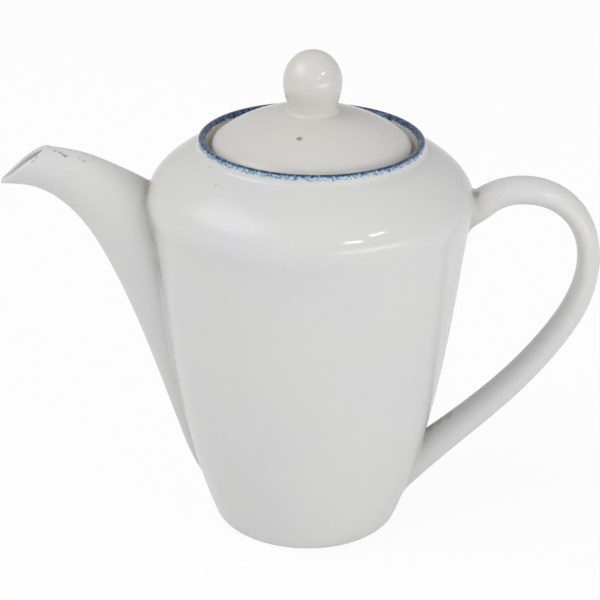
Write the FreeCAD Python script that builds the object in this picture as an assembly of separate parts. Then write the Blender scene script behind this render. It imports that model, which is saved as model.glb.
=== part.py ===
import FreeCAD, Part
import math
import os

from FreeCAD import Vector

# A slip-cast glazed coffee pot: a tapered body with a domed shoulder, a long spout, an ear handle and a
# loose lid. All sizes are millimetres and degrees. The pot's axis is Z and it stands on Z = 0. The spout
# points to -X and the handle to +X.

# Body wall, measured to the outside: where the lower corner ends and where the shoulder begins, and the
# wall's lean from upright at these and at the neck. The pulls say how far the wall keeps each lean.
base_radius = 35.6
base_height = 3.8
base_lean = 22.0
edge_radius = 59.75
edge_height = 125.0
edge_lean = 12.0
neck_lean = 62.5
wall_pull_low = 47.5
wall_pull_high = 15.0
shoulder_pull_low = 5.5
shoulder_pull_high = 24.4
wall = 4.0
neck_wall = 4.4

# Foot and floor
foot_ring_width = 4.0
foot_recess = 2.5
floor_thickness = 4.5
floor_corner = 9.0

# Rim collar, which stands on the neck with a small cove, and the ledge inside it that the lid rests on
rim_radius = 42.0
rim_height = 155.7
rim_wall = 2.8
collar_height = 4.5
cove_width = 1.6
cove_height = 1.7
ledge_drop = 5.3
ledge_corner = 1.9
ledge_width = 5.9

# Strainer: rows of holes through the wall behind the spout
strainer_hole = 4.5
strainer_pitch = 7.0
strainer_row_rise = 8.0
strainer_low = 83.0
strainer_rows = [2, 3, 2, 3, 2]

# Spout: stations from the root to the mouth, each with a point on its keel, a point on its top line and
# the half width between them. The keel's first points are a height and a stand-off from the body wall, and
# all the other points are a reach from the axis and a height.
keel_roots = [(11.0, -0.6), (20.9, 2.0), (35.0, 3.7), (60.0, 6.9)]
keel_reach = [(67.4, 87.0), (77.4, 109.0), (88.2, 125.0), (101.5, 134.2), (115.0, 136.0)]
spout_top = [(22.0, 46.0), (24.5, 58.0), (28.0, 74.0), (34.0, 96.0), (42.5, 118.0), (55.0, 133.2),
             (71.5, 142.5), (85.0, 148.0), (97.6, 150.2)]
spout_half_widths = [2.5, 4.0, 6.0, 10.0, 13.5, 13.0, 9.5, 6.4, 4.8]
spout_egg = 0.25
spout_wall = 3.0
lip_wall = 1.9
bore_first_station = 3

# Handle: stations along its middle line from the upper root to the lower root, as reach, height, thickness
# and width. A root is a height, how far the middle line sinks into the wall, thickness and width.
handle_upper_root = (124.5, 9.0, 14.0, 15.0)
handle_stations = [(61.0, 128.9, 11.8, 14.5), (69.3, 134.2, 10.6, 13.5), (79.8, 136.3, 10.4, 13.0),
                   (90.2, 134.0, 9.9, 13.0), (98.7, 127.4, 9.1, 13.0), (103.9, 117.0, 8.5, 13.0),
                   (105.0, 108.0, 8.5, 13.0), (102.2, 93.0, 9.2, 13.0), (92.8, 75.8, 9.8, 13.0),
                   (78.8, 58.2, 10.4, 13.0), (60.7, 40.4, 11.4, 13.5), (46.2, 27.3, 13.0, 14.5)]
handle_lower_root = (16.0, 6.0, 15.0, 15.0)

# Lid, flange, vent and locking lug
lid_gap = 2.4
lid_edge = 4.2
lid_edge_round = 1.8
dome_rise = 12.0
lid_wall = 3.8
flange_clearance = 1.0
flange_depth = 13.4
flange_wall = 2.8
vent_diameter = 2.2
vent_reach = 22.0
vent_angle = 258.5
lug_angle = 90.0
lug_width = 10.0
lug_depth = 3.3
lug_height = 4.5
lug_clearance = 0.8
notch_clearance = 1.0

# Knob, with its heights measured from the flat seat on top of the lid
knob_seat_radius = 11.0
knob_foot_height = 2.2
knob_neck_radius = 9.2
knob_radius = 10.85
knob_middle = 11.3
knob_height = 23.2

# Places that follow from the sizes above
floor_height = foot_recess + floor_thickness
neck_radius = rim_radius + cove_width
neck_height = rim_height - collar_height
ledge_height = rim_height - ledge_drop
ledge_underside = neck_height - neck_wall
rim_inner_radius = rim_radius - rim_wall
bore_radius = rim_inner_radius - ledge_width
lid_radius = rim_inner_radius - lid_gap
lid_edge_top = ledge_height + lid_edge
flange_radius = bore_radius - flange_clearance
lug_radius = flange_radius + lug_depth
dome_radius = (lid_radius ** 2 + dome_rise ** 2) / (2.0 * dome_rise)


def at(radius, height):
    """A point of an outline in the XZ plane."""
    return Vector(radius, 0.0, height)


def lean(angle):
    """The direction that rises at this angle from upright, outwards."""
    return Vector(math.sin(math.radians(angle)), 0.0, math.cos(math.radians(angle)))


def line(start, end):
    return Part.LineSegment(start, end).toShape()


def bezier(*poles):
    curve = Part.BezierCurve()
    curve.setPoles(list(poles))
    return curve


def revolve(edges):
    """Turn a closed outline about the pot's axis."""
    return Part.Face(Part.Wire(edges)).revolve(Vector(0, 0, 0), Vector(0, 0, 1), 360)


def wall_curve(inset):
    """The body wall from its base to the shoulder's edge, moved in by the inset."""
    start = at(base_radius - inset, base_height)
    end = at(edge_radius - inset, edge_height)
    leaves = lean(base_lean) * wall_pull_low
    arrives = lean(edge_lean) * wall_pull_high
    return bezier(start, start + leaves, end - arrives, end)


def shoulder_curve(inset, neck):
    """The domed shoulder from its edge to the neck."""
    start = at(edge_radius - inset, edge_height)
    leaves = lean(edge_lean) * shoulder_pull_low
    arrives = lean(-neck_lean) * shoulder_pull_high
    return bezier(start, start + leaves, neck - arrives, neck)


def parameter_at(curve, height):
    """Where a rising curve reaches a height, found by halving."""
    halvings = 30
    low, high = 0.0, 1.0
    for halving in range(halvings):
        middle = (low + high) / 2.0
        if curve.value(middle).z < height:
            low = middle
        else:
            high = middle
    return low


def wall_radius(height):
    """The outer radius of the body wall at a height."""
    curve = wall_curve(0.0)
    return curve.value(parameter_at(curve, height)).x


def outside_edges():
    """The body's outline from the edge of its resting face up to the outside of the rim."""
    bend = 90.0 - base_lean
    corner = base_height / (1.0 - math.cos(math.radians(bend)))
    foot_radius = base_radius - corner * math.sin(math.radians(bend))
    halfway = math.radians(bend / 2.0)
    foot = at(foot_radius, 0.0)
    base = at(base_radius, base_height)
    corner_middle = at(foot_radius + corner * math.sin(halfway), corner * (1.0 - math.cos(halfway)))
    neck = at(neck_radius, neck_height)
    cove_foot = at(rim_radius, neck_height + cove_width / math.tan(math.radians(neck_lean)))
    cove_top = cove_foot + Vector(0, 0, cove_height)
    edges = [Part.Arc(foot, corner_middle, base).toShape(), wall_curve(0.0).toShape(),
             shoulder_curve(0.0, neck).toShape(), bezier(neck, cove_foot, cove_top).toShape(),
             line(cove_top, at(rim_radius, rim_height - rim_wall / 2.0))]
    return foot_radius, edges


def inside_edges():
    """The hollow's outline from the bore under the ledge down to the middle of the floor."""
    neck = at(neck_radius, ledge_underside)
    inner_wall = wall_curve(wall)
    inner_wall.segment(parameter_at(inner_wall, floor_height + floor_corner), 1.0)
    corner_top = inner_wall.value(0.0)
    rise = inner_wall.tangent(0.0)[0]
    corner = corner_top - rise * (floor_corner / rise.z)
    corner_foot = corner - Vector(floor_corner, 0, 0)
    return [line(at(bore_radius, ledge_underside), neck), shoulder_curve(wall, neck).toShape(),
            inner_wall.toShape(), bezier(corner_foot, corner, corner_top).toShape(),
            line(corner_foot, at(0.0, floor_height))]


def rim_edges():
    """The rounded rim, the inside of the collar, the ledge and the bore through it."""
    rim_round = rim_wall / 2.0
    outer = at(rim_radius, rim_height - rim_round)
    inner = at(rim_inner_radius, rim_height - rim_round)
    corner_top = at(rim_inner_radius, ledge_height + ledge_corner)
    corner = at(rim_inner_radius, ledge_height)
    corner_end = at(rim_inner_radius - ledge_corner, ledge_height)
    bore_top = at(bore_radius, ledge_height)
    return [Part.Arc(outer, at(rim_radius - rim_round, rim_height), inner).toShape(), line(inner, corner_top),
            bezier(corner_top, corner, corner_end).toShape(), line(corner_end, bore_top),
            line(bore_top, at(bore_radius, ledge_underside))]


def filled_body():
    """The body's outer form with nothing taken out, which trims the roots of the spout and the handle."""
    foot_radius, outside = outside_edges()
    rim = outside[-1].Vertexes[-1].Point
    top = at(0.0, rim.z)
    bottom = at(0.0, 0.0)
    return revolve(outside + [line(rim, top), line(top, bottom), line(bottom, at(foot_radius, 0.0))])


def strainer_holes():
    """Parallel holes along X, in staggered rows."""
    holes = []
    through = 3.0 * wall
    for row, count in enumerate(strainer_rows):
        height = strainer_low + row * strainer_row_rise
        start = -(wall_radius(height) + wall)
        for place in range(count):
            across = (place - (count - 1) / 2.0) * strainer_pitch
            foot = Vector(start, across, height)
            holes.append(Part.makeCylinder(strainer_hole / 2.0, through, foot, Vector(1, 0, 0)))
    return holes


def ring_sector(inner, outer, width, low, high, angle):
    """A block between two radii, with round inner and outer faces, turned to an angle about the axis."""
    block = Part.makeBox(outer, width, high - low, Vector(0, -width / 2.0, low))
    block = block.common(Part.makeCylinder(outer, high - low, Vector(0, 0, low)))
    block = block.cut(Part.makeCylinder(inner, high - low, Vector(0, 0, low)))
    block.rotate(Vector(0, 0, 0), Vector(0, 0, 1), angle)
    return block


def make_pot_body():
    foot_radius, outside = outside_edges()
    foot_inner = foot_radius - foot_ring_width
    under = [line(at(0.0, floor_height), at(0.0, foot_recess)),
             line(at(0.0, foot_recess), at(foot_inner, foot_recess)),
             line(at(foot_inner, foot_recess), at(foot_inner, 0.0)),
             line(at(foot_inner, 0.0), at(foot_radius, 0.0))]
    body = revolve(Part.sortEdges(under + outside + rim_edges() + inside_edges())[0])
    notch = ring_sector(bore_radius - wall, lug_radius + lug_clearance, lug_width + 2.0 * notch_clearance,
                        ledge_underside - wall, ledge_height + wall, lug_angle)
    return body.cut(strainer_holes() + [notch])


def oval(middle, along, half_along, half_across, egg=0.0, points=16):
    """A closed oval across Y. A positive egg narrows the end that lies against the along direction."""
    places = []
    for step in range(points):
        turn = 2.0 * math.pi * step / points
        across = half_across * math.sin(turn) * (1.0 + egg * math.cos(turn))
        places.append(middle + along * (half_along * math.cos(turn)) + Vector(0, across, 0))
    curve = Part.BSplineCurve()
    curve.interpolate(Points=places, PeriodicFlag=True)
    return Part.Wire([curve.toShape()])


def spout_rings():
    """Keel point, top point and half width of each station of the spout."""
    keel = [at(-(wall_radius(height) + stand_off), height) for height, stand_off in keel_roots]
    keel += [at(-reach, height) for reach, height in keel_reach]
    top = [at(-reach, height) for reach, height in spout_top]
    return list(zip(keel, top, spout_half_widths))


def spout_oval(keel, top, half_width, skin, shift):
    """The spout's section at a station, less a wall of this thickness, moved on by the shift."""
    along = (top - keel).normalize()
    middle = (top + keel) * 0.5 + shift
    return oval(middle, along, (top - keel).Length / 2.0 - skin, half_width - skin, spout_egg)


def make_spout(body):
    rings = spout_rings()
    still = Vector(0, 0, 0)
    outside = Part.makeLoft([spout_oval(*ring, 0.0, still) for ring in rings], True)
    keel, top, half_width = rings[-1]
    out_of_mouth = (top - keel).cross(Vector(0, 1, 0)).normalize()
    bore_rings = rings[bore_first_station:]
    walls = [spout_wall] * (len(bore_rings) - 1) + [lip_wall]
    sections = [spout_oval(*ring, skin, still) for ring, skin in zip(bore_rings, walls)]
    sections.append(spout_oval(keel, top, half_width, lip_wall, out_of_mouth * spout_wall))
    bore = Part.makeLoft(sections, True)
    return outside.cut([bore, body])


def handle_sections():
    """Ovals square to the handle's middle line, from inside the upper root to inside the lower root."""
    stations = list(handle_stations)
    upper_height, upper_sink, upper_thick, upper_wide = handle_upper_root
    lower_height, lower_sink, lower_thick, lower_wide = handle_lower_root
    stations.insert(0, (wall_radius(upper_height) - upper_sink, upper_height, upper_thick, upper_wide))
    stations.append((wall_radius(lower_height) - lower_sink, lower_height, lower_thick, lower_wide))
    middles = [at(reach, height) for reach, height, thick, wide in stations]
    path = Part.BSplineCurve()
    path.interpolate(Points=middles)
    sections = []
    for middle, (reach, height, thick, wide) in zip(middles, stations):
        run = path.tangent(path.parameter(middle))[0]
        across = run.cross(Vector(0, 1, 0)).normalize()
        sections.append(oval(middle, across, thick / 2.0, wide / 2.0))
    return sections


def make_handle(body):
    return Part.makeLoft(handle_sections(), True).cut(body)


def dome_height(radius):
    """The height of the lid's outer dome at a radius."""
    return lid_edge_top + dome_rise - dome_radius + math.sqrt(dome_radius ** 2 - radius ** 2)


def dome_arc(outer, inner, drop):
    """The dome's outline between two radii, lowered by the drop."""
    between = (outer + inner) / 2.0
    places = [at(radius, dome_height(radius) - drop) for radius in (outer, between, inner)]
    return Part.Arc(*places).toShape()


def make_lid():
    seat = dome_height(knob_seat_radius)
    edge_inner = lid_radius - lid_edge_round
    edge_low = lid_edge_top - lid_edge_round
    flange_inner = flange_radius - flange_wall
    flange_round = flange_wall / 2.0
    flange_foot = ledge_height - flange_depth
    round_top = flange_foot + flange_round
    outer_round = at(flange_radius, round_top)
    lowest = at(flange_radius - flange_round, flange_foot)
    inner_round = at(flange_inner, round_top)
    outline = [line(at(0.0, dome_height(0.0) - lid_wall), at(0.0, seat)),
               line(at(0.0, seat), at(knob_seat_radius, seat)),
               dome_arc(knob_seat_radius, edge_inner, 0.0),
               bezier(at(edge_inner, dome_height(edge_inner)), at(lid_radius, lid_edge_top),
                      at(lid_radius, edge_low)).toShape(),
               line(at(lid_radius, edge_low), at(lid_radius, ledge_height)),
               line(at(lid_radius, ledge_height), at(flange_radius, ledge_height)),
               line(at(flange_radius, ledge_height), outer_round),
               Part.Arc(outer_round, lowest, inner_round).toShape(),
               line(inner_round, at(flange_inner, dome_height(flange_inner) - lid_wall)),
               dome_arc(flange_inner, 0.0, lid_wall)]
    turn = math.radians(vent_angle)
    vent_foot = Vector(vent_reach * math.cos(turn), vent_reach * math.sin(turn), lid_edge_top - lid_wall)
    vent = Part.makeCylinder(vent_diameter / 2.0, dome_rise + 2.0 * lid_wall, vent_foot)
    return revolve(outline).cut(vent)


def make_lid_knob():
    seat = dome_height(knob_seat_radius)
    foot = at(knob_seat_radius, seat)
    neck = at(knob_neck_radius, seat + knob_foot_height)
    middle = at(knob_radius, seat + knob_middle)
    top = at(0.0, seat + knob_height)
    swell = Vector(0, 0, (middle.z - neck.z) / 3.0)
    quarter_round = 0.5523
    crown_rise = Vector(0, 0, quarter_round * (top.z - middle.z))
    crown_reach = Vector(quarter_round * knob_radius, 0, 0)
    outline = [line(at(0.0, seat), foot),
               bezier(foot, at(knob_neck_radius, seat), neck).toShape(),
               bezier(neck, neck + swell, middle - swell, middle).toShape(),
               bezier(middle, middle + crown_rise, top + crown_reach, top).toShape(),
               line(top, at(0.0, seat))]
    return revolve(outline)


def make_lid_lug():
    top = ledge_underside - lug_clearance
    return ring_sector(flange_radius, lug_radius, lug_width, top - lug_height, top, lug_angle)


def main():
    os.makedirs("parts", exist_ok=True)
    body = filled_body()
    nodes = {
        "pot_body": make_pot_body(),
        "spout": make_spout(body),
        "handle": make_handle(body),
        "lid": make_lid(),
        "lid_knob": make_lid_knob(),
        "lid_lug": make_lid_lug(),
    }
    for name, shape in nodes.items():
        shape.exportStep("parts/" + name + ".step")
        volume = round(shape.Volume / 1000.0, 2)
        print(name, len(shape.Solids), "solid, volume", volume, "cm3, valid", shape.isValid())


main()
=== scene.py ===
# %% [markdown]
# # A glazed coffee pot
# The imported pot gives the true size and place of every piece. This lesson builds the skin that the eye sees:
# a thick, glossy white glaze that softens every edge, fills the roots of spout and handle, and ends in a
# speckled blue band on the rim. Everything is in metres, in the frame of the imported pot.

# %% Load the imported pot
import math

import bmesh
import bpy
import numpy
from mathutils import Matrix, Vector
from mathutils.geometry import interpolate_bezier


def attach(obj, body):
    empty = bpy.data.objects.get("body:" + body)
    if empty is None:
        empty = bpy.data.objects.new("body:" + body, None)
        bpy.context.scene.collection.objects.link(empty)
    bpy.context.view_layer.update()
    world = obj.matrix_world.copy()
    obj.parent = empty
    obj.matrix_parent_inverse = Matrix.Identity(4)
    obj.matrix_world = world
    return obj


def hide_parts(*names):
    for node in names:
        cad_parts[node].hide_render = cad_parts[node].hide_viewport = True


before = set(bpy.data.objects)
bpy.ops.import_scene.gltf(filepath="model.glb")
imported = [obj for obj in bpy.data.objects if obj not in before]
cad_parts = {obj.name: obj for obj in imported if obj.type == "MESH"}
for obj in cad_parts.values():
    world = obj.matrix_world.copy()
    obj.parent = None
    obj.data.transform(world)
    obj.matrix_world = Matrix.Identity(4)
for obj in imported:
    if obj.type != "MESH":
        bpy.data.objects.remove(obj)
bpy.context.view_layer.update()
MM = 0.001

# %% [markdown]
# ## The body's outline
# A slip-cast pot is a turned form, so one outline says everything about it. The outline runs from the middle
# of the underside over the foot, up the wall, round the shoulder and the rim, and back down the inside.
# Each stretch is a Bezier curve with a lean at its ends, because a potter's template is made of such sweeps.

# %% Outline helpers
def at(radius, height):
    """A point of an outline, from sizes in millimetres."""
    return Vector((radius * MM, 0.0, height * MM))


def lean(angle, length):
    """A step that rises at this angle from upright, outwards."""
    return Vector((math.sin(math.radians(angle)), 0.0, math.cos(math.radians(angle)))) * length * MM


def sweep(start, leaves, arrives, end, steps):
    """Points on a cubic curve that leaves and arrives along the two given steps."""
    return interpolate_bezier(start, start + leaves, end - arrives, end, steps + 1)


def soft_corner(start, corner, end, steps):
    """Points on a curve from start to end that rounds off the corner between them."""
    return sweep(start, (corner - start) * 2 / 3, (end - corner) * 2 / 3, end, steps)


def arc(centre, radius, first, last, steps):
    """Points on an arc, from one angle to another, in degrees above level."""
    turns = [math.radians(first + (last - first) * step / steps) for step in range(steps + 1)]
    return [centre + Vector((math.cos(turn), 0.0, math.sin(turn))) * radius for turn in turns]


# %% Body sizes, in millimetres
base_radius, base_height, base_lean = 35.6, 3.8, 22.0
edge_radius, edge_height, edge_lean = 59.75, 125.0, 12.0
neck_radius, neck_height, neck_lean = 43.6, 151.2, 62.5
wall_pull_low, wall_pull_high, shoulder_pull_low, shoulder_pull_high = 47.5, 15.0, 5.5, 24.4
wall_thickness = 4.0
rim_radius, rim_height, rim_wall = 42.0, 155.7, 2.8
cove_height = 1.7
ledge_height, ledge_underside, ledge_corner, bore_radius = 150.4, 146.8, 1.9, 33.3
floor_height, floor_corner = 7.0, 9.0
foot_recess, foot_ring_width = 2.5, 4.0

# %% How finely the body's curves are drawn, in steps
wall_steps, shoulder_steps, inner_wall_steps, inner_shoulder_steps = 72, 56, 40, 24
foot_corner_steps, cove_steps, rim_steps, ledge_corner_steps, floor_corner_steps = 12, 8, 20, 8, 10


# %% Trace the outline
def wall_sweep(inset, steps):
    """The wall from the foot's corner to the shoulder's edge, moved in by the inset."""
    base, edge = at(base_radius - inset, base_height), at(edge_radius - inset, edge_height)
    return sweep(base, lean(base_lean, wall_pull_low), lean(edge_lean, wall_pull_high), edge, steps)


def shoulder_sweep(inset, neck, steps):
    """The shoulder from its edge to the neck."""
    edge = at(edge_radius - inset, edge_height)
    return sweep(edge, lean(edge_lean, shoulder_pull_low), lean(-neck_lean, shoulder_pull_high), neck, steps)


def outer_wall():
    return wall_sweep(0.0, wall_steps) + shoulder_sweep(0.0, at(neck_radius, neck_height), shoulder_steps)


def inner_wall():
    """The hollow, from under the ledge down to the floor."""
    shoulder = shoulder_sweep(wall_thickness, at(neck_radius, ledge_underside), inner_shoulder_steps)
    wall = wall_sweep(wall_thickness, inner_wall_steps)
    above_corner = [point for point in wall if point.z > (floor_height + floor_corner) * MM]
    corner_top = above_corner[0]
    rise = (above_corner[1] - corner_top).normalized()
    corner = corner_top - rise * ((corner_top.z - floor_height * MM) / rise.z)
    foot = corner - Vector((floor_corner * MM, 0, 0))
    return shoulder[::-1] + above_corner[::-1] + soft_corner(corner_top, corner, foot, floor_corner_steps)


def body_outline():
    bend = 90.0 - base_lean
    foot_corner = base_height / (1.0 - math.cos(math.radians(bend)))
    foot_radius = base_radius - foot_corner * math.sin(math.radians(bend))
    foot_inner = foot_radius - foot_ring_width
    under = [at(0, foot_recess), at(foot_inner, foot_recess), at(foot_inner, 0)]
    corner = arc(at(foot_radius, foot_corner), foot_corner * MM, -90.0, bend - 90.0, foot_corner_steps)
    neck_slope = math.tan(math.radians(neck_lean))
    cove_foot = at(rim_radius, neck_height + (neck_radius - rim_radius) / neck_slope)
    cove_top = cove_foot + Vector((0, 0, cove_height * MM))
    cove = soft_corner(at(neck_radius, neck_height), cove_foot, cove_top, cove_steps)
    rim_round = rim_wall / 2
    rim_centre = at(rim_radius - rim_round, rim_height - rim_round)
    rim = arc(rim_centre, rim_round * MM, 0.0, 180.0, rim_steps)
    inner_rim = rim_radius - rim_wall
    inside_corner = soft_corner(at(inner_rim, ledge_height + ledge_corner), at(inner_rim, ledge_height),
                                at(inner_rim - ledge_corner, ledge_height), ledge_corner_steps)
    ledge = [at(bore_radius, ledge_height), at(bore_radius, ledge_underside)]
    outside = under + corner + outer_wall() + cove + rim
    return outside + inside_corner + ledge + inner_wall() + [at(0, floor_height)]


outline = body_outline()
print("outline points:", len(outline), "top, mm:", round(max(point.z for point in outline) / MM, 2))

# %% [markdown]
# ## Turning the body
# Spinning the outline once round the axis is what the plaster mould's lathe does. The few sharp corners left
# at the foot ring and the lid's ledge are bevelled, because glaze never leaves a knife edge.

# %% Turning helpers
crisp_angle, weld = 40.0, 0.002 * MM


def turned_form(points, steps):
    """A closed turned form from an outline whose ends lie on the axis."""
    form = bmesh.new()
    verts = [form.verts.new(point) for point in points]
    edges = [form.edges.new(pair) for pair in zip(verts, verts[1:])]
    bmesh.ops.spin(form, geom=verts + edges, cent=(0, 0, 0), axis=(0, 0, 1), angle=2 * math.pi,
                   steps=steps, use_merge=True)
    bmesh.ops.remove_doubles(form, verts=form.verts, dist=weld)
    bmesh.ops.recalc_face_normals(form, faces=form.faces)
    return form


def soften_edges(form, offset, sharper_than=35.0):
    """Bevel every edge that turns by more than this angle."""
    limit = math.radians(sharper_than)
    sharp = [edge for edge in form.edges if edge.is_manifold and edge.calc_face_angle() > limit]
    bmesh.ops.bevel(form, geom=sharp, offset=offset * MM, offset_type="OFFSET", affect="EDGES", segments=3,
                    profile=0.5, material=-1)
    return len(sharp)


def to_object(form, name):
    """Put a finished form into the scene as a smooth-shaded object."""
    mesh = bpy.data.meshes.new(name)
    form.to_mesh(mesh)
    form.free()
    mesh.polygons.foreach_set("use_smooth", [True] * len(mesh.polygons))
    mesh.set_sharp_from_angle(angle=math.radians(crisp_angle))
    made = bpy.data.objects.new(name, mesh)
    bpy.context.scene.collection.objects.link(made)
    return made


def carve(piece, cutter):
    """Cut the cutter's form out of a piece for good, weld the doubled points where a cut runs along an edge,
    because they would leave faces without any area, and keep the new edges crisp."""
    cut = piece.modifiers.new("cut", "BOOLEAN")
    cut.operation, cut.solver, cut.object = "DIFFERENCE", "EXACT", cutter
    bpy.context.view_layer.update()
    evaluated = piece.evaluated_get(bpy.context.evaluated_depsgraph_get())
    carved = bpy.data.meshes.new_from_object(evaluated)
    piece.modifiers.remove(cut)
    form = bmesh.new()
    form.from_mesh(carved)
    bmesh.ops.remove_doubles(form, verts=form.verts, dist=weld)
    form.to_mesh(carved)
    form.free()
    old = piece.data
    piece.data = carved
    carved.name = piece.name
    bpy.data.meshes.remove(old)
    bpy.data.objects.remove(cutter)
    carved.set_sharp_from_angle(angle=math.radians(crisp_angle))
    return piece


def dress(piece, node, body):
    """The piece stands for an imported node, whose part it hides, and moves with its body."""
    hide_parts(node)
    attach(piece, body)
    print(piece.name, "has", len(piece.data.polygons), "faces")
    return piece


# %% The body
body_turn_steps, body_bevel = 192, 0.6
body_form = turned_form(outline, body_turn_steps)
print("body edges softened:", soften_edges(body_form, body_bevel))
pot_skin = to_object(body_form, "pot_body_glazed")

# %% [markdown]
# ## Strainer and notch
# Behind the spout the potter pierces the soft wall with a few rows of holes, which hold back coffee grounds.
# A notch in the ledge lets the lid's lug pass. Both are cut with a boolean, the way they are cut in clay.

# %% Cut the strainer and the notch
strainer_hole, strainer_pitch, strainer_rise, strainer_low = 4.5, 7.0, 8.0, 83.0
strainer_rows = [2, 3, 2, 3, 2]
hole_sides, strainer_cut = 32, 16.0
notch_width, notch_depth, notch_cut, notch_radius, lug_angle = 12.0, 10.0, 9.0, 36.4, 90.0
lug_side = Matrix.Rotation(math.radians(lug_angle), 4, "Z")
profile = sorted((point.z, point.x) for point in outer_wall())
profile_heights, profile_radii = zip(*profile)


def body_radius(height):
    """The body's outer radius at a height, both in metres."""
    return float(numpy.interp(height, profile_heights, profile_radii))


def strainer_cutter():
    form = bmesh.new()
    lying = Matrix.Rotation(math.pi / 2, 4, "Y")
    for row, count in enumerate(strainer_rows):
        height = (strainer_low + row * strainer_rise) * MM
        for place in range(count):
            across = (place - (count - 1) / 2) * strainer_pitch * MM
            centre = Vector((-body_radius(height), across, height))
            bmesh.ops.create_cone(form, cap_ends=True, segments=hole_sides, radius1=strainer_hole / 2 * MM,
                                  radius2=strainer_hole / 2 * MM, depth=strainer_cut * MM,
                                  matrix=Matrix.Translation(centre) @ lying)
    notch = Matrix.Translation(at(notch_radius - notch_depth / 2, (ledge_height + ledge_underside) / 2))
    size = Matrix.Diagonal((notch_depth * MM, notch_width * MM, notch_cut * MM, 1.0))
    bmesh.ops.create_cube(form, size=1.0, matrix=lug_side @ notch @ size)
    return to_object(form, "cutter")


carve(pot_skin, strainer_cutter())
dress(pot_skin, "pot_body", "pot")

# %% [markdown]
# ## Skins that grow out of the body
# Spout and handle are cast on their own and stuck on with slip, and a wet finger smooths the slip into a small
# round fillet. A loft of plain ovals can't give that fillet. So each skin is a grid, bent into place column by
# column: a column starts flat on the body's wall, turns through the fillet and then runs along the loft.

# %% Smooth curves through stations
def smooth_through(stations):
    """A natural cubic spline through rows of numbers. The first two numbers of a row are its place on a path,
    and the length along that path spaces the rows."""
    knots = numpy.array(stations, float)
    steps = numpy.linalg.norm(numpy.diff(knots[:, :2], axis=0), axis=1)
    marks = numpy.concatenate([[0.0], numpy.cumsum(steps)])
    count = len(knots)
    matrix, right = numpy.eye(count), numpy.zeros_like(knots)
    slopes = numpy.diff(knots, axis=0) / steps[:, None]
    for place in range(1, count - 1):
        before, after = steps[place - 1], steps[place]
        matrix[place, place - 1:place + 2] = before, 2 * (before + after), after
        right[place] = 6 * (slopes[place] - slopes[place - 1])
    bends = numpy.linalg.solve(matrix, right)

    def value(mark):
        place = int(numpy.clip(numpy.searchsorted(marks, mark) - 1, 0, count - 2))
        step = steps[place]
        left, ahead = (marks[place + 1] - mark) / step, (mark - marks[place]) / step
        curve = (left ** 3 - left) * bends[place] + (ahead ** 3 - ahead) * bends[place + 1]
        return left * knots[place] + ahead * knots[place + 1] + curve * step ** 2 / 6

    return value, float(marks[-1])


# %% Meeting the body
sink, small = 0.02 * MM, 0.2 * MM
scan_steps, halvings = 240, 24


def wall_gap(point):
    """How far a point stands outside the body's wall, level with it."""
    return math.hypot(point.x, point.y) - body_radius(point.z)


def wall_normal(point):
    slope = (body_radius(point.z + small) - body_radius(point.z - small)) / (2 * small)
    return Vector((point.x, point.y, -slope * math.hypot(point.x, point.y))).normalized()


def onto_wall(point):
    """The point moved level onto the wall, a hair inside it so that no light shows between."""
    share = (body_radius(point.z) - sink) / math.hypot(point.x, point.y)
    return Vector((point.x * share, point.y * share, point.z))


def leaving_mark(place, inside, outside):
    """The mark between inside and outside where a column last leaves the wall."""
    marks = [outside + (inside - outside) * step / scan_steps for step in range(scan_steps + 1)]
    low, high = inside, outside
    for mark, nearer in zip(marks, marks[1:]):
        if wall_gap(place(nearer)) < 0:
            low, high = nearer, mark
            break
    for halving in range(halvings):
        middle = (low + high) / 2
        if wall_gap(place(middle)) < 0:
            low = middle
        else:
            high = middle
    return high


def fillet(column, around, root, ahead, reach, steps):
    """Points from the flat wall through the crease's fillet, and the mark where the loft takes over.
    column gives the skin's point at a mark and around the points beside it, ahead is +1 or -1. The fillet
    leaves along the wall and arrives along the loft, so that neither end shows as a line."""
    crease = column(root)
    onward = column(root + ahead * small) - crease
    before, after = around(root)
    outward = (after - before).cross(onward).normalized()
    if outward.dot(crease - around.middle(root)) < 0:
        outward = -outward
    normal = wall_normal(crease)
    aside = (outward - normal * outward.dot(normal)).normalized()
    mark = root
    while (column(mark) - crease).length < reach:
        mark += ahead * small
    flat, free = onto_wall(crease + aside * reach), column(mark)
    back, upright = crease - flat, wall_normal(flat)
    leaves = back - upright * back.dot(upright)
    arrives = (column(mark + ahead * small) - free).normalized() * (free - crease).length
    return sweep(flat, leaves * 2 / 3, arrives * 2 / 3, free, steps), mark


def by_height(reaches, height):
    """A fillet's reach at a crease of this height, from a list of heights and reaches in millimetres."""
    heights, sizes = zip(*reaches)
    return float(numpy.interp(height / MM, heights, sizes)) * MM


# %% [markdown]
# ## The spout
# Each station of the spout has a point on its keel, a point on its top line and a half width. Between them the
# section is an egg, narrower towards the keel. The skin runs up the outside, rolls over the lip and goes down
# the bore again, so that the dark slit of the mouth is a real hollow.

# %% Spout stations, in millimetres
keel_roots = [(11.0, -0.6), (20.9, 2.0), (35.0, 3.7), (60.0, 6.9)]
keel_reach = [(67.4, 87.0), (77.4, 109.0), (88.2, 125.0), (101.5, 134.2), (115.0, 135.7)]
spout_top = [(22.0, 46.0), (24.5, 58.0), (28.0, 74.0), (34.0, 96.0), (42.5, 118.0), (55.0, 133.2),
             (71.5, 142.5), (85.0, 148.0), (97.6, 150.2)]
spout_half_widths = [2.5, 4.0, 6.0, 10.0, 13.5, 13.0, 9.5, 6.9, 6.0]
spout_egg, spout_wall, lip_wall, lip_end_wall, lip_roll = 0.25, 3.0, 1.9, 2.9, 1.2
lip_taper, bore_root = 16.0, 12.0
mouth_swell, beak_reach, beak_narrowness = 1.4, 1.3, 3
spout_fillets = [(10.0, 5.0), (30.0, 7.0), (60.0, 7.0), (95.0, 4.0), (120.0, 2.4), (131.0, 1.1)]

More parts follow.
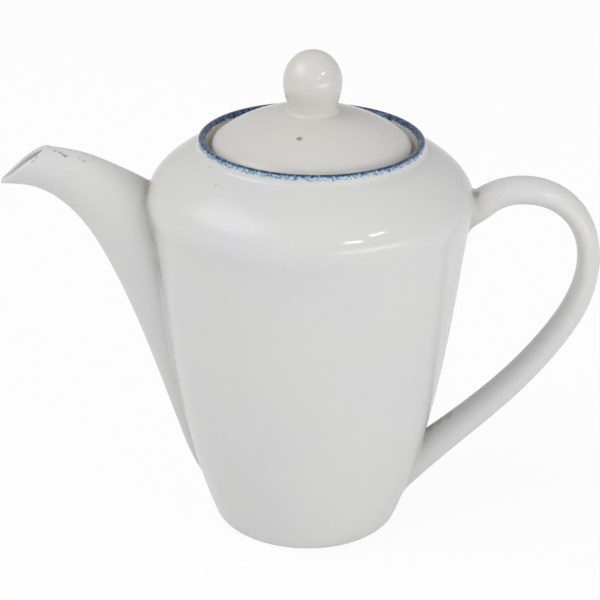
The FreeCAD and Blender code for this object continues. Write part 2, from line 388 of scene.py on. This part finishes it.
keel = [(body_radius(height * MM) / MM + stand_off, height) for height, stand_off in keel_roots] + keel_reach
spout_stations = [((low_x + high_x) / 2, (low_z + high_z) / 2, low_x, low_z, high_x, high_z, half)
                  for (low_x, low_z), (high_x, high_z), half in zip(keel, spout_top, spout_half_widths)]
spout_value, spout_length = smooth_through(spout_stations)


def spout_point(mark, turn, skin=0.0):
    """A point of the spout at a mark along it, in metres, and a turn about it, less a skin in millimetres."""
    keel_x, keel_z, top_x, top_z, half = spout_value(mark / MM)[2:]
    along = Vector((keel_x - top_x, 0.0, top_z - keel_z))
    length = along.length / 2 - skin
    along.normalize()
    across = (half - skin) * math.sin(turn) * (1 + spout_egg * math.cos(turn))
    middle = Vector((-(keel_x + top_x) / 2, 0.0, (keel_z + top_z) / 2))
    return (middle + along * length * math.cos(turn) + Vector((0, across, 0))) * MM


class Beside:
    """The points of a skin just before and after a column, and the middle of the skin there."""
    aside = 0.02

    def __init__(self, point, turn):
        self.point, self.turn = point, turn

    def __call__(self, mark):
        return self.point(mark, self.turn - self.aside), self.point(mark, self.turn + self.aside)

    def middle(self, mark):
        return (self.point(mark, 0.0) + self.point(mark, math.pi)) / 2


# %% Bend a grid into the spout
spout_columns, fillet_rows, spout_rows, lip_rows, bore_rows = 112, 12, 84, 12, 40
mouth = (spout_length - lip_roll) * MM
crease_row, crease_fade = fillet_rows // 2, 5.0
# How strong the painted crease shade is at the spout's roots, by height in millimetres.
spout_crease_shade = [(20.0, 0.2), (80.0, 0.45), (110.0, 1.1), (130.0, 1.4)]
tip_keel, tip_top = spout_point(mouth, math.pi), spout_point(mouth, 0.0)
out_of_mouth = Vector((0, 1, 0)).cross(tip_top - tip_keel).normalized()
if out_of_mouth.x > 0:
    out_of_mouth = -out_of_mouth


def mouth_mark(turn):
    """Where a column meets the lip: the lip swells at its sides and runs out to a blunt beak."""
    beak = max(0.0, -math.cos(turn)) ** beak_narrowness
    return mouth + (mouth_swell * math.sin(turn) ** 2 + beak_reach * beak) * MM


def bore_point(mark, turn):
    thick_until = (spout_length - lip_taper) * MM
    share = max(0.0, (mark - thick_until) / (mouth - thick_until))
    lip = lip_wall + (lip_end_wall - lip_wall) * math.cos(turn) ** 2
    return spout_point(mark, turn, spout_wall + (lip - spout_wall) * share)


def spout_column(turn):
    def outside(mark):
        return spout_point(mark, turn)

    def inside(mark):
        return bore_point(mark, turn)

    end = mouth_mark(turn)
    root = leaving_mark(outside, 0.0, mouth)
    reach = by_height(spout_fillets, outside(root).z)
    bend, start = fillet(outside, Beside(spout_point, turn), root, 1, reach, fillet_rows)
    run = [outside(start + (end - start) * row / spout_rows) for row in range(1, spout_rows + 1)]
    outer, inner = outside(end), inside(end)
    roll = []
    for row in range(1, lip_rows):
        angle = math.pi * row / lip_rows
        roll.append((outer + inner) / 2 + (outer - inner) / 2 * math.cos(angle)
                    + out_of_mouth * lip_roll * MM * math.sin(angle))
    deep = leaving_mark(inside, bore_root * MM, mouth)
    bore = [inside(end + (deep - end) * row / bore_rows) for row in range(bore_rows + 1)]
    return bend + run + roll + bore


def bend_grid(columns, crease_rows, crease_shades):
    """A closed skin whose columns follow the given lists of points. Each point remembers how near it lies
    to the crease at the given rows, times how strong the painted crease shade is at its height."""
    shade_heights, shade_depths = zip(*crease_shades)
    count, rows = len(columns), len(columns[0])
    form = bmesh.new()
    shade_layer = form.verts.layers.float.new("crease")
    bmesh.ops.create_grid(form, x_segments=count, y_segments=rows - 1, size=0.5)
    for vert in form.verts:
        column = columns[round((vert.co.x + 0.5) * count) % count]
        vert.co = column[round((vert.co.y + 0.5) * (rows - 1))]
        # Painted crease shade: the stored value is strongest at the crease and fades away from it.
        gap = min((vert.co - column[row]).length for row in crease_rows)
        depth = float(numpy.interp(vert.co.z / MM, shade_heights, shade_depths))
        vert[shade_layer] = depth * math.exp(-gap / (crease_fade * MM))
    bmesh.ops.remove_doubles(form, verts=form.verts, dist=weld)
    return form


spout_turns = [2 * math.pi * step / spout_columns for step in range(spout_columns)]
spout_form = bend_grid([spout_column(turn) for turn in spout_turns], [crease_row], spout_crease_shade)
rim_edges = [edge for edge in spout_form.edges if edge.is_boundary]
bmesh.ops.bridge_loops(spout_form, edges=rim_edges)
bmesh.ops.recalc_face_normals(spout_form, faces=spout_form.faces)
spout_skin = dress(to_object(spout_form, "spout_glazed"), "spout", "pot")

# %% [markdown]
# ## The handle
# The ear handle is one bent bar of soft clay. Its section is a fat oval, thinner at the outer bend and thicker
# at both roots. The same column method gives it a fillet at each end.

# %% Handle stations, in millimetres: reach, height, thickness, width
handle_upper_root, handle_lower_root = (124.5, 9.0, 14.0, 15.0), (16.0, 6.0, 15.0, 15.0)
handle_stations = [(61.0, 128.9, 11.8, 14.5), (69.3, 134.2, 10.6, 13.5), (79.8, 136.3, 10.4, 13.0),
                   (90.2, 134.0, 9.9, 13.0), (98.7, 127.4, 9.1, 13.0), (103.9, 117.0, 8.5, 13.0),
                   (105.0, 108.0, 8.5, 13.0), (102.2, 93.0, 9.2, 13.0), (92.8, 75.8, 9.8, 13.0),
                   (78.8, 58.2, 10.4, 13.0), (60.7, 40.4, 11.4, 13.5), (46.2, 27.3, 13.0, 14.5)]
handle_fillets = [(6.0, 3.0), (14.0, 5.0), (22.0, 5.5), (31.0, 1.4),
                  (100.0, 4.5), (117.0, 4.5), (131.0, 1.8)]
run_step = 0.1


def root_station(root):
    height, sunk, thick, wide = root
    return body_radius(height * MM) / MM - sunk, height, thick, wide


handle_value, handle_length = smooth_through(
    [root_station(handle_upper_root)] + handle_stations + [root_station(handle_lower_root)])


def handle_point(mark, turn):
    """A point of the handle at a mark along it, in metres, and a turn about its middle line."""
    reach, height, thick, wide = handle_value(mark / MM)
    before, after = handle_value(mark / MM - run_step), handle_value(mark / MM + run_step)
    run = Vector((after[0] - before[0], 0.0, after[1] - before[1])).normalized()
    across = run.cross(Vector((0, 1, 0)))
    spread = across * (thick / 2 * math.cos(turn)) + Vector((0, wide / 2 * math.sin(turn), 0))
    return (Vector((reach, 0.0, height)) + spread) * MM


# %% Bend a grid into the handle
handle_columns, handle_rows = 64, 150
# How strong the painted crease shade is at the handle's roots, by height in millimetres.
handle_crease_shade = [(12.0, 0.3), (24.0, 0.9), (60.0, 1.1), (115.0, 1.1), (130.0, 0.6)]
handle_end = handle_length * MM


def handle_column(turn):
    def skin(mark):
        return handle_point(mark, turn)

    beside = Beside(handle_point, turn)
    middle = handle_end / 2
    upper = leaving_mark(skin, 0.0, middle)
    lower = leaving_mark(skin, handle_end, middle)
    upper_reach, lower_reach = (by_height(handle_fillets, skin(mark).z) for mark in (upper, lower))
    start_bend, start = fillet(skin, beside, upper, 1, upper_reach, fillet_rows)
    end_bend, end = fillet(skin, beside, lower, -1, lower_reach, fillet_rows)
    run = [skin(start + (end - start) * row / handle_rows) for row in range(1, handle_rows)]
    return start_bend + run + end_bend[::-1]


handle_turns = [2 * math.pi * step / handle_columns for step in range(handle_columns)]
handle_form = bend_grid([handle_column(turn) for turn in handle_turns], [crease_row, -1 - crease_row],
                        handle_crease_shade)
open_edges = [edge for edge in handle_form.edges if edge.is_boundary]
bmesh.ops.holes_fill(handle_form, edges=open_edges, sides=0)
bmesh.ops.recalc_face_normals(handle_form, faces=handle_form.faces)
handle_skin = dress(to_object(handle_form, "handle_glazed"), "handle", "pot")

# %% [markdown]
# ## The lid, its knob and its lug
# The lid is a shallow dome with a rounded edge and a deep flange, turned like the body. The knob is turned
# too: its foot flares out onto the dome, a hair below its surface, its sides swell and its crown is nearly a
# half ball. The small lug on the flange is a block with rounded edges.

# %% Lid sizes, in millimetres
lid_radius, lid_edge_top, lid_edge_round, dome_rise, lid_thickness = 36.8, 154.6, 1.8, 12.0, 3.8
flange_radius, flange_wall, flange_depth, lid_bevel = 32.3, 2.8, 13.4, 0.5
vent_diameter, vent_reach, vent_angle, vent_cut = 2.2, 22.0, 258.5, 30.0
knob_seat_radius, knob_neck_radius, knob_radius = 11.0, 9.2, 10.85
knob_middle, knob_height = 11.3, 23.2
knob_flare, knob_flare_rise, dome_inner = 10.4, 1.5, 9.8
knob_sink, knob_underside, knob_under_inset, knob_foot_pull = 0.05, 0.3, 0.4, 0.2
knob_swell, knob_swell_low, round_share = 0.42, 0.7, 0.5523
lug_width, lug_depth, lug_height, lug_clearance = 10.0, 3.3, 4.5, 0.8
lug_root, lug_inset, lug_bevel = 0.3, 0.35, 0.8
dome_radius = (lid_radius ** 2 + dome_rise ** 2) / (2 * dome_rise)


# %% How finely the lid's and the knob's curves are drawn, in steps
lid_turn_steps, dome_steps, dome_inside_steps, lid_edge_steps, flange_foot_steps = 160, 24, 20, 8, 12
knob_turn_steps, knob_foot_steps, knob_side_steps, knob_crown_steps = 128, 14, 16, 24


# %% The dome
def dome_height(radius):
    return lid_edge_top + dome_rise - dome_radius + math.sqrt(dome_radius ** 2 - radius ** 2)


def dome(first, last, drop, steps):
    radii = [first + (last - first) * step / steps for step in range(steps + 1)]
    return [at(radius, dome_height(radius) - drop) for radius in radii]


# %% The lid
def lid_outline():
    edge_inner = lid_radius - lid_edge_round
    flange_inner = flange_radius - flange_wall
    flange_foot = ledge_height - flange_depth
    edge = soft_corner(at(edge_inner, dome_height(edge_inner)), at(lid_radius, lid_edge_top),
                       at(lid_radius, lid_edge_top - lid_edge_round), lid_edge_steps)
    foot = arc(at(flange_radius - flange_wall / 2, flange_foot + flange_wall / 2),
               flange_wall / 2 * MM, 0.0, -180.0, flange_foot_steps)
    return ([at(0, dome_height(dome_inner))] + dome(dome_inner, edge_inner, 0.0, dome_steps) + edge
            + [at(lid_radius, ledge_height), at(flange_radius, ledge_height)] + foot
            + dome(flange_inner, 0.0, lid_thickness, dome_inside_steps))


lid_form = turned_form(lid_outline(), lid_turn_steps)
soften_edges(lid_form, lid_bevel)
lid_skin = to_object(lid_form, "lid_glazed")

vent_form = bmesh.new()
vent_turn = math.radians(vent_angle)
vent_place = Vector((math.cos(vent_turn), math.sin(vent_turn), 0)) * vent_reach * MM
bmesh.ops.create_cone(vent_form, cap_ends=True, segments=hole_sides, radius1=vent_diameter / 2 * MM,
                      radius2=vent_diameter / 2 * MM, depth=vent_cut * MM,
                      matrix=Matrix.Translation(vent_place + at(0, dome_height(vent_reach))))
carve(lid_skin, to_object(vent_form, "vent_cutter"))
dress(lid_skin, "lid", "lid")

# %% The knob and the lug
def knob_outline():
    seat = dome_height(knob_seat_radius)
    flare = at(knob_flare, dome_height(knob_flare) - knob_sink)
    waist = at(knob_neck_radius, seat + knob_flare_rise)
    middle, top = at(knob_radius, seat + knob_middle), at(0, seat + knob_height)
    foot_corner = at(knob_neck_radius + knob_foot_pull, dome_height(knob_neck_radius))
    foot = soft_corner(flare, foot_corner, waist, knob_foot_steps)
    swell = Vector((0, 0, (middle.z - waist.z) * knob_swell))
    side = sweep(waist, swell * knob_swell_low, swell, middle, knob_side_steps)
    crown = sweep(middle, Vector((0, 0, top.z - middle.z)) * round_share,
                  Vector((-middle.x, 0, 0)) * round_share, top, knob_crown_steps)
    underside = dome_height(knob_flare) - knob_underside
    return [at(0, underside), at(knob_flare - knob_under_inset, underside)] + foot + side + crown


knob_form = turned_form(knob_outline(), knob_turn_steps)
knob_skin = dress(to_object(knob_form, "lid_knob_glazed"), "lid_knob", "knob")

lug_form = bmesh.new()
lug_top = ledge_underside - lug_clearance
lug_size = Matrix.Diagonal(((lug_depth + lug_root) * MM, lug_width * MM, lug_height * MM, 1.0))
lug_place = Matrix.Translation(at(flange_radius + lug_depth / 2 - lug_inset, lug_top - lug_height / 2))
bmesh.ops.create_cube(lug_form, size=1.0, matrix=lug_side @ lug_place @ lug_size)
soften_edges(lug_form, lug_bevel)
lug_skin = dress(to_object(lug_form, "lid_lug_glazed"), "lid_lug", "lid")

# %% [markdown]
# ## Glaze
# The glaze is a clear gloss over a white body. It is never one flat colour: it pools and thins, so its white
# drifts a little from cool to warm, and its surface has the faint ripple of an orange skin.

# %% Material helpers
noise_middle, noise_low, noise_high = 0.5, 0.3, 0.7


def add(tree, kind, **settings):
    """A new node with its properties set."""
    node = tree.nodes.new(kind)
    for name, value in settings.items():
        setattr(node, name, value)
    return node


def noise(tree, coordinates, scale, detail=3.0, roughness=0.5):
    node = add(tree, "ShaderNodeTexNoise")
    node.inputs["Scale"].default_value = scale
    node.inputs["Detail"].default_value = detail
    node.inputs["Roughness"].default_value = roughness
    tree.links.new(coordinates, node.inputs["Vector"])
    return node.outputs["Fac"]


def ramp(tree, factor, stops):
    """Colours or greys that follow a factor, each stop a place and a colour."""
    node = add(tree, "ShaderNodeValToRGB")
    elements = node.color_ramp.elements
    while len(elements) < len(stops):
        elements.new(0.5)
    for element, (place, colour) in zip(elements, stops):
        element.position = place
        element.color = (*colour, 1.0)
    tree.links.new(factor, node.inputs["Fac"])
    return node.outputs["Color"]


def span(tree, value, low, high, to_low=0.0, to_high=1.0):
    """A value carried smoothly from one range to another."""
    node = add(tree, "ShaderNodeMapRange", interpolation_type="SMOOTHSTEP")
    for name, number in (("From Min", low), ("From Max", high), ("To Min", to_low), ("To Max", to_high)):
        node.inputs[name].default_value = number
    tree.links.new(value, node.inputs["Value"])
    return node.outputs["Result"]


def maths(tree, operation, first, second):
    node = add(tree, "ShaderNodeMath", operation=operation)
    for socket, value in zip(node.inputs, (first, second)):
        if isinstance(value, (int, float)):
            socket.default_value = value
        else:
            tree.links.new(value, socket)
    return node.outputs["Value"]


def mix(tree, factor, first, second):
    """One colour over another."""
    node = add(tree, "ShaderNodeMix", data_type="RGBA")
    for name, value in (("Factor", factor), ("A", first), ("B", second)):
        socket = [each for each in node.inputs if each.name == name and each.type in ("RGBA", "VALUE")]
        socket = [each for each in socket if each.enabled][0]
        if isinstance(value, tuple):
            socket.default_value = (*value, 1.0)
        else:
            tree.links.new(value, socket)
    return [each for each in node.outputs if each.enabled][0]


# %% [markdown]
# ### Wear and painted shade
# A pot that is in daily use has a few scuff marks, most of them where the beak knocks against a cup, and the
# crotches at the handle's roots are painted darker, a painted shade. Each one is a small dark patch round a
# named point: the distance to that point, roughened by noise, says where it ends.

# %% Wear marks and painted shade: a place and a radius in millimetres, and how dark
# One dark colour serves the scuff marks and the painted shade at the handle's roots.
scuff_and_shade, mark_scale, mark_fray = (0.210, 0.195, 0.175), 1600.0, 2.6
beak_marks = [((-102.3, -5.9, 146.6), 0.8, 0.4), ((-101.1, -5.0, 148.1), 0.8, 0.45),
              ((-94.5, -2.4, 149.4), 0.7, 0.6), ((-92.6, -2.8, 149.0), 0.8, 0.6),
              ((-91.4, -3.4, 148.6), 0.8, 0.6), ((-90.5, -3.9, 148.1), 0.8, 0.75),
              ((-85.6, -3.6, 147.3), 0.7, 0.35), ((-83.7, -4.3, 146.4), 0.7, 0.4)]
# Painted shade in the crotches where the handle meets the body.
handle_root_shade = [((60.8, -3.2, 135.3), 2.4, 0.55), ((48.2, 0.5, 37.0), 3.2, 0.5),
                ((51.5, 0.0, 39.8), 2.8, 0.4), ((55.0, -1.2, 42.8), 2.4, 0.35)]
shoulder_marks = [((-33.9, -33.9, 148.7), 0.6, 0.35), ((-37.3, -37.5, 145.3), 0.5, 0.3),
                  ((-36.4, -22.8, 151.6), 0.7, 0.3)]
lid_marks = [((26.4, -0.9, 160.7), 0.5, 0.8)]


def worn_and_shaded(tree, place, colour, marks):
    """The colour with small dark patches at the given marks: scuff marks, and painted shade at the handle's
    roots.
    """
    uneven = maths(tree, "SUBTRACT", noise(tree, place, mark_scale), noise_middle)
    rough = maths(tree, "MULTIPLY", uneven, mark_fray * MM)
    scuffs_and_shade = 0.0
    for centre, radius, dark in marks:
        gap = add(tree, "ShaderNodeVectorMath", operation="DISTANCE")
        gap.inputs[1].default_value = Vector(centre) * MM
        tree.links.new(place, gap.inputs[0])
        frayed = maths(tree, "ADD", gap.outputs["Value"], rough)
        scuffs_and_shade = maths(tree, "MAXIMUM", scuffs_and_shade, span(tree, frayed, radius / 2 * MM, radius * MM, dark, 0.0))
    return mix(tree, scuffs_and_shade, colour, scuff_and_shade)


# %% Glaze
drift_scale, drift_cool, drift_warm = 22.0, 0.35, 0.65
grain_scale, grain_smooth, grain_rough = 420.0, 0.07, 0.13
ripple_scale, ripple_height, fine_detail = 110.0, 0.25 * MM, 2.0
white_ripple, lid_ripple = 0.12, 0.2


def glaze(name, cool, warm, ripple_strength, marks, gloss):
    """A glossy off-white glaze that drifts between two whites. Returns the material and what it is made of."""
    material = bpy.data.materials.new(name)
    material.use_nodes = True
    tree = material.node_tree
    shader = tree.nodes["Principled BSDF"]
    place = add(tree, "ShaderNodeTexCoord").outputs["Object"]
    drift = noise(tree, place, drift_scale)
    colour = worn_and_shaded(tree, place, ramp(tree, drift, [(drift_cool, cool), (drift_warm, warm)]), marks)
    grain = noise(tree, place, grain_scale, fine_detail)
    roughness = span(tree, grain, noise_low, noise_high, grain_smooth, grain_rough)
    tree.links.new(roughness, shader.inputs["Roughness"])
    ripple = add(tree, "ShaderNodeBump")
    ripple.inputs["Strength"].default_value = ripple_strength
    ripple.inputs["Distance"].default_value = ripple_height
    tree.links.new(noise(tree, place, ripple_scale, fine_detail), ripple.inputs["Height"])
    tree.links.new(ripple.outputs["Normal"], shader.inputs["Normal"])
    shader.inputs["IOR"].default_value = gloss
    tree.links.new(colour, shader.inputs["Base Color"])
    return material, tree, place, colour, shader


white_cool, white_warm = (0.640, 0.640, 0.650), (0.650, 0.650, 0.630)
lid_cool, lid_warm = (0.630, 0.615, 0.590), (0.645, 0.625, 0.595)
white_gloss, lid_gloss = 1.37, 1.45
lid_glaze = glaze("lid_glaze", lid_cool, lid_warm, lid_ripple, lid_marks, lid_gloss)[0]
for piece in (lid_skin, knob_skin, lug_skin):
    piece.data.materials.append(lid_glaze)

# %% [markdown]
# ### Shaded creases
# The roots of spout and handle are painted a little darker and tan: a painted shade in their creases.
# The grid of each skin remembers how near it is to its crease, and the painted shade follows that, broken by
# noise.

# %% Glaze of the spout and the handle
# The tan of the painted shade in the creases of spout and handle.
crease_shade = (0.330, 0.300, 0.240)
patch_scale, patch_thin, patch_thick = 60.0, 0.25, 0.75


def crease_shaded_glaze():
    material, tree, place, white, shader = glaze("white_glaze", white_cool, white_warm, white_ripple,
                                                 beak_marks + handle_root_shade, white_gloss)
    # Painted shade: towards the crease the glaze turns tan, broken into patches by noise.
    crease = add(tree, "ShaderNodeAttribute", attribute_name="crease").outputs["Fac"]
    patches = span(tree, noise(tree, place, patch_scale), noise_low, noise_high, patch_thin, patch_thick)
    cover = maths(tree, "MULTIPLY", crease, patches)
    tree.links.new(mix(tree, cover, white, crease_shade), shader.inputs["Base Color"])
    return material


glaze_with_crease_shade = crease_shaded_glaze()
for piece in (spout_skin, handle_skin):
    piece.data.materials.append(glaze_with_crease_shade)

# %% [markdown]
# ### The blue rim
# The rim is sponged with cobalt. It lies darkest on the crest and down the inside, and outside it thins into
# pale specks with a ragged lower edge. Depth below the crest and distance from the axis say where the band is,
# one noise breaks its edge and a coarser one makes the specks. Below the band, the gap round the lid is cream
# and darkens towards the ledge, a painted shade deep in the gap.

# %% Blue rim band
navy, blue = (0.014, 0.036, 0.080), (0.034, 0.084, 0.175)
mid_blue, pale_blue, milk_blue = (0.105, 0.200, 0.325), (0.330, 0.435, 0.525), (0.560, 0.605, 0.630)
band_colours = [(0.46, navy), (0.59, blue), (0.72, mid_blue), (0.86, pale_blue), (1.0, milk_blue)]
band_depth, band_fray, band_fringe, crest_outer, crest_fade = 1.6, 4.5, 0.35, 41.6, 0.3
edge_scale, edge_detail, edge_grain = 1100.0, 3.0, 0.65
speckle_scale, speckle_detail, speckle_grain = 850.0, 3.0, 0.75
speckle_gain, crest_lift, speckle_drop = 1.5, 0.30, 0.20
gap_cream, gap_shade = (0.840, 0.815, 0.755), (0.300, 0.260, 0.200)
gap_light, gap_dark, gap_margin = 4.0, 5.3, 0.5


def banded_glaze():
    material, tree, place, white, shader = glaze("white_glaze_blue_rim", white_cool, white_warm, white_ripple,
                                                 shoulder_marks, white_gloss)
    axes = add(tree, "ShaderNodeSeparateXYZ")
    tree.links.new(place, axes.inputs["Vector"])
    level = add(tree, "ShaderNodeVectorMath", operation="MULTIPLY")
    level.inputs[1].default_value = (1.0, 1.0, 0.0)
    tree.links.new(place, level.inputs[0])
    reach = add(tree, "ShaderNodeVectorMath", operation="LENGTH")
    tree.links.new(level.outputs["Vector"], reach.inputs[0])
    depth = maths(tree, "SUBTRACT", rim_height * MM, axes.outputs["Z"])
    outward = span(tree, reach.outputs["Value"], (crest_outer - crest_fade) * MM,
                   (crest_outer + crest_fade) * MM)
    ragged = noise(tree, place, edge_scale, edge_detail, edge_grain)
    edge_noise = maths(tree, "SUBTRACT", ragged, noise_middle)
    frayed = maths(tree, "ADD", depth, maths(tree, "MULTIPLY", edge_noise, band_fray * MM))
    cover = span(tree, frayed, (band_depth - band_fringe) * MM, (band_depth + band_fringe) * MM, 1.0, 0.0)
    speckle = noise(tree, place, speckle_scale, speckle_detail, speckle_grain)
    shade = maths(tree, "SUBTRACT", maths(tree, "MULTIPLY", speckle, speckle_gain), speckle_drop)
    shade = maths(tree, "ADD", shade, maths(tree, "MULTIPLY", outward, crest_lift))
    band = ramp(tree, shade, band_colours)
    within = span(tree, reach.outputs["Value"], (rim_radius - rim_wall) * MM, crest_outer * MM, 1.0, 0.0)
    within = maths(tree, "MULTIPLY", within, maths(tree, "LESS_THAN", depth, (gap_dark + gap_margin) * MM))
    # Painted shade: the gap's cream darkens with depth towards the ledge.
    gap_colour = mix(tree, span(tree, depth, gap_light * MM, gap_dark * MM), gap_cream, gap_shade)
    ground = mix(tree, within, white, gap_colour)
    tree.links.new(mix(tree, cover, ground, band), shader.inputs["Base Color"])
    return material


pot_skin.data.materials.clear()
pot_skin.data.materials.append(banded_glaze())
print("materials:", [material.name for material in bpy.data.materials])

# %% [markdown]
# ## Floor, light and camera
# The pot stands on a white sheet in an even room. A sheet lit like the pot would look grey, so to the camera
# it is lifted towards white, and the pot's shadow still shows in it. The glaze mirrors the sheet most at the
# pot's outline, so in the glaze it is lifted only a little, or the outline would glow. Two large soft panels,
# brightest in their middle and clear at their edge, give the broad sheen at the upper left and light the
# right side of the wall, and two small lamps give the sharp glints.

# %% Floor and world
sheet_grey, sheet_roughness, sheet_cells = 0.9, 0.9, 8
sheet_size, sheet_lift, sheet_mirror, room_light = 12.0, 0.92, 0.35, 0.56


def white_sheet():
    material = bpy.data.materials.new("white_sheet")
    material.use_nodes = True
    tree = material.node_tree
    lit = tree.nodes["Principled BSDF"]
    lit.inputs["Base Color"].default_value = (sheet_grey, sheet_grey, sheet_grey, 1.0)
    lit.inputs["Roughness"].default_value = sheet_roughness
    path = add(tree, "ShaderNodeLightPath")
    mirrored = maths(tree, "MULTIPLY", path.outputs["Is Glossy Ray"], sheet_mirror)
    seen = maths(tree, "MAXIMUM", path.outputs["Is Camera Ray"], mirrored)
    seen = maths(tree, "MAXIMUM", seen, path.outputs["Is Transmission Ray"])
    both = add(tree, "ShaderNodeMixShader")
    white = add(tree, "ShaderNodeEmission")
    tree.links.new(maths(tree, "MULTIPLY", seen, sheet_lift), both.inputs[0])
    tree.links.new(lit.outputs["BSDF"], both.inputs[1])
    tree.links.new(white.outputs["Emission"], both.inputs[2])
    tree.links.new(both.outputs["Shader"], tree.nodes["Material Output"].inputs["Surface"])
    return material


floor_form = bmesh.new()
bmesh.ops.create_grid(floor_form, x_segments=sheet_cells, y_segments=sheet_cells, size=sheet_size)
floor = to_object(floor_form, "floor")
floor.data.materials.append(white_sheet())

world = bpy.data.worlds.new("studio")
bpy.context.scene.world = world
world.use_nodes = True
sky = world.node_tree.nodes["Background"]
sky.inputs["Color"].default_value = (1.0, 1.0, 1.0, 1.0)
sky.inputs["Strength"].default_value = room_light
print("sheet, metres across:", [round(side, 1) for side in floor.dimensions[:2]])


# %% Panels and lamps
light_aim_height, panel_cells = 100.0, 24
light_aim = at(0, light_aim_height)


def facing(direction, distance):
    """A place in this direction from the pot, turned to face it."""
    place = light_aim + Vector(direction).normalized() * distance
    return Matrix.Translation(place) @ (light_aim - place).to_track_quat("-Z", "Y").to_matrix().to_4x4()


def soft_panel(name, direction, distance, width, height, strength):
    """A glowing sheet, in metres, that fades to nothing at its edge and that the camera looks through."""
    form = bmesh.new()
    glow = form.verts.layers.float.new("glow")
    bmesh.ops.create_grid(form, x_segments=panel_cells, y_segments=panel_cells, size=1.0)
    for vert in form.verts:
        vert[glow] = (1 - vert.co.x ** 2) * (1 - vert.co.y ** 2)
    size = Matrix.Diagonal((width / 2, height / 2, 1.0, 1.0))
    bmesh.ops.transform(form, matrix=facing(direction, distance) @ size, verts=form.verts)
    panel = to_object(form, name)
    material = bpy.data.materials.new(name)
    material.use_nodes = True
    tree = material.node_tree
    shine = add(tree, "ShaderNodeEmission")
    shine.inputs["Strength"].default_value = strength
    clear = add(tree, "ShaderNodeBsdfTransparent")
    level = add(tree, "ShaderNodeAttribute", attribute_name="glow").outputs["Fac"]
    unseen = maths(tree, "SUBTRACT", 1.0, add(tree, "ShaderNodeLightPath").outputs["Is Camera Ray"])
    both = add(tree, "ShaderNodeMixShader")
    tree.links.new(maths(tree, "MULTIPLY", level, unseen), both.inputs[0])
    tree.links.new(clear.outputs["BSDF"], both.inputs[1])
    tree.links.new(shine.outputs["Emission"], both.inputs[2])
    tree.links.new(both.outputs["Shader"], tree.nodes["Material Output"].inputs["Surface"])
    panel.data.materials.append(material)


def small_lamp(name, direction, distance, width, height, power):
    data = bpy.data.lights.new(name, "AREA")
    data.shape, data.size, data.size_y, data.energy = "RECTANGLE", width, height, power
    made = bpy.data.objects.new(name, data)
    bpy.context.scene.collection.objects.link(made)
    made.matrix_world = facing(direction, distance)


soft_panel("left_panel", direction=(-0.69, -0.24, 0.68), distance=1.2, width=1.4, height=1.0, strength=3.7)
soft_panel("right_panel", direction=(0.66, -0.74, -0.05), distance=1.3, width=1.7, height=0.5, strength=5.8)
lamp_directions = {"low_lamp": (0.450, -0.775, 0.444), "high_lamp": (0.633, -0.505, 0.587)}
for lamp, direction in lamp_directions.items():
    small_lamp(lamp, direction, distance=1.3, width=0.24, height=0.09, power=1.3)
print("lamps:", [light.name for light in bpy.data.lights])

# %% Camera
camera_distance, camera_elevation, camera_roll = 0.85, 24.35, 0.96
focal_pixels, photo_size, sensor_width = 2218.0, 600.0, 36.0
aim_pixel, aim_height = (308.44, 336.59), 75.0
camera_data = bpy.data.cameras.new("camera")
camera = bpy.data.objects.new("camera", camera_data)
bpy.context.scene.collection.objects.link(camera)
bpy.context.scene.camera = camera
camera_data.sensor_width = sensor_width
camera_data.lens = focal_pixels / photo_size * camera_data.sensor_width
camera_data.shift_x = (photo_size / 2 - aim_pixel[0]) / photo_size
camera_data.shift_y = (aim_pixel[1] - photo_size / 2) / photo_size
rise = math.radians(camera_elevation)
aim = at(0, aim_height)
camera.location = aim + Vector((0, -math.cos(rise), math.sin(rise))) * camera_distance
straight = (aim - camera.location).to_track_quat("-Z", "Y").to_matrix().to_4x4()
camera.matrix_world = (Matrix.Translation(camera.location) @ straight
                       @ Matrix.Rotation(math.radians(camera_roll), 4, "Z"))
bpy.context.scene.view_settings.view_transform = "Standard"
print("lens, mm:", round(camera_data.lens, 1))
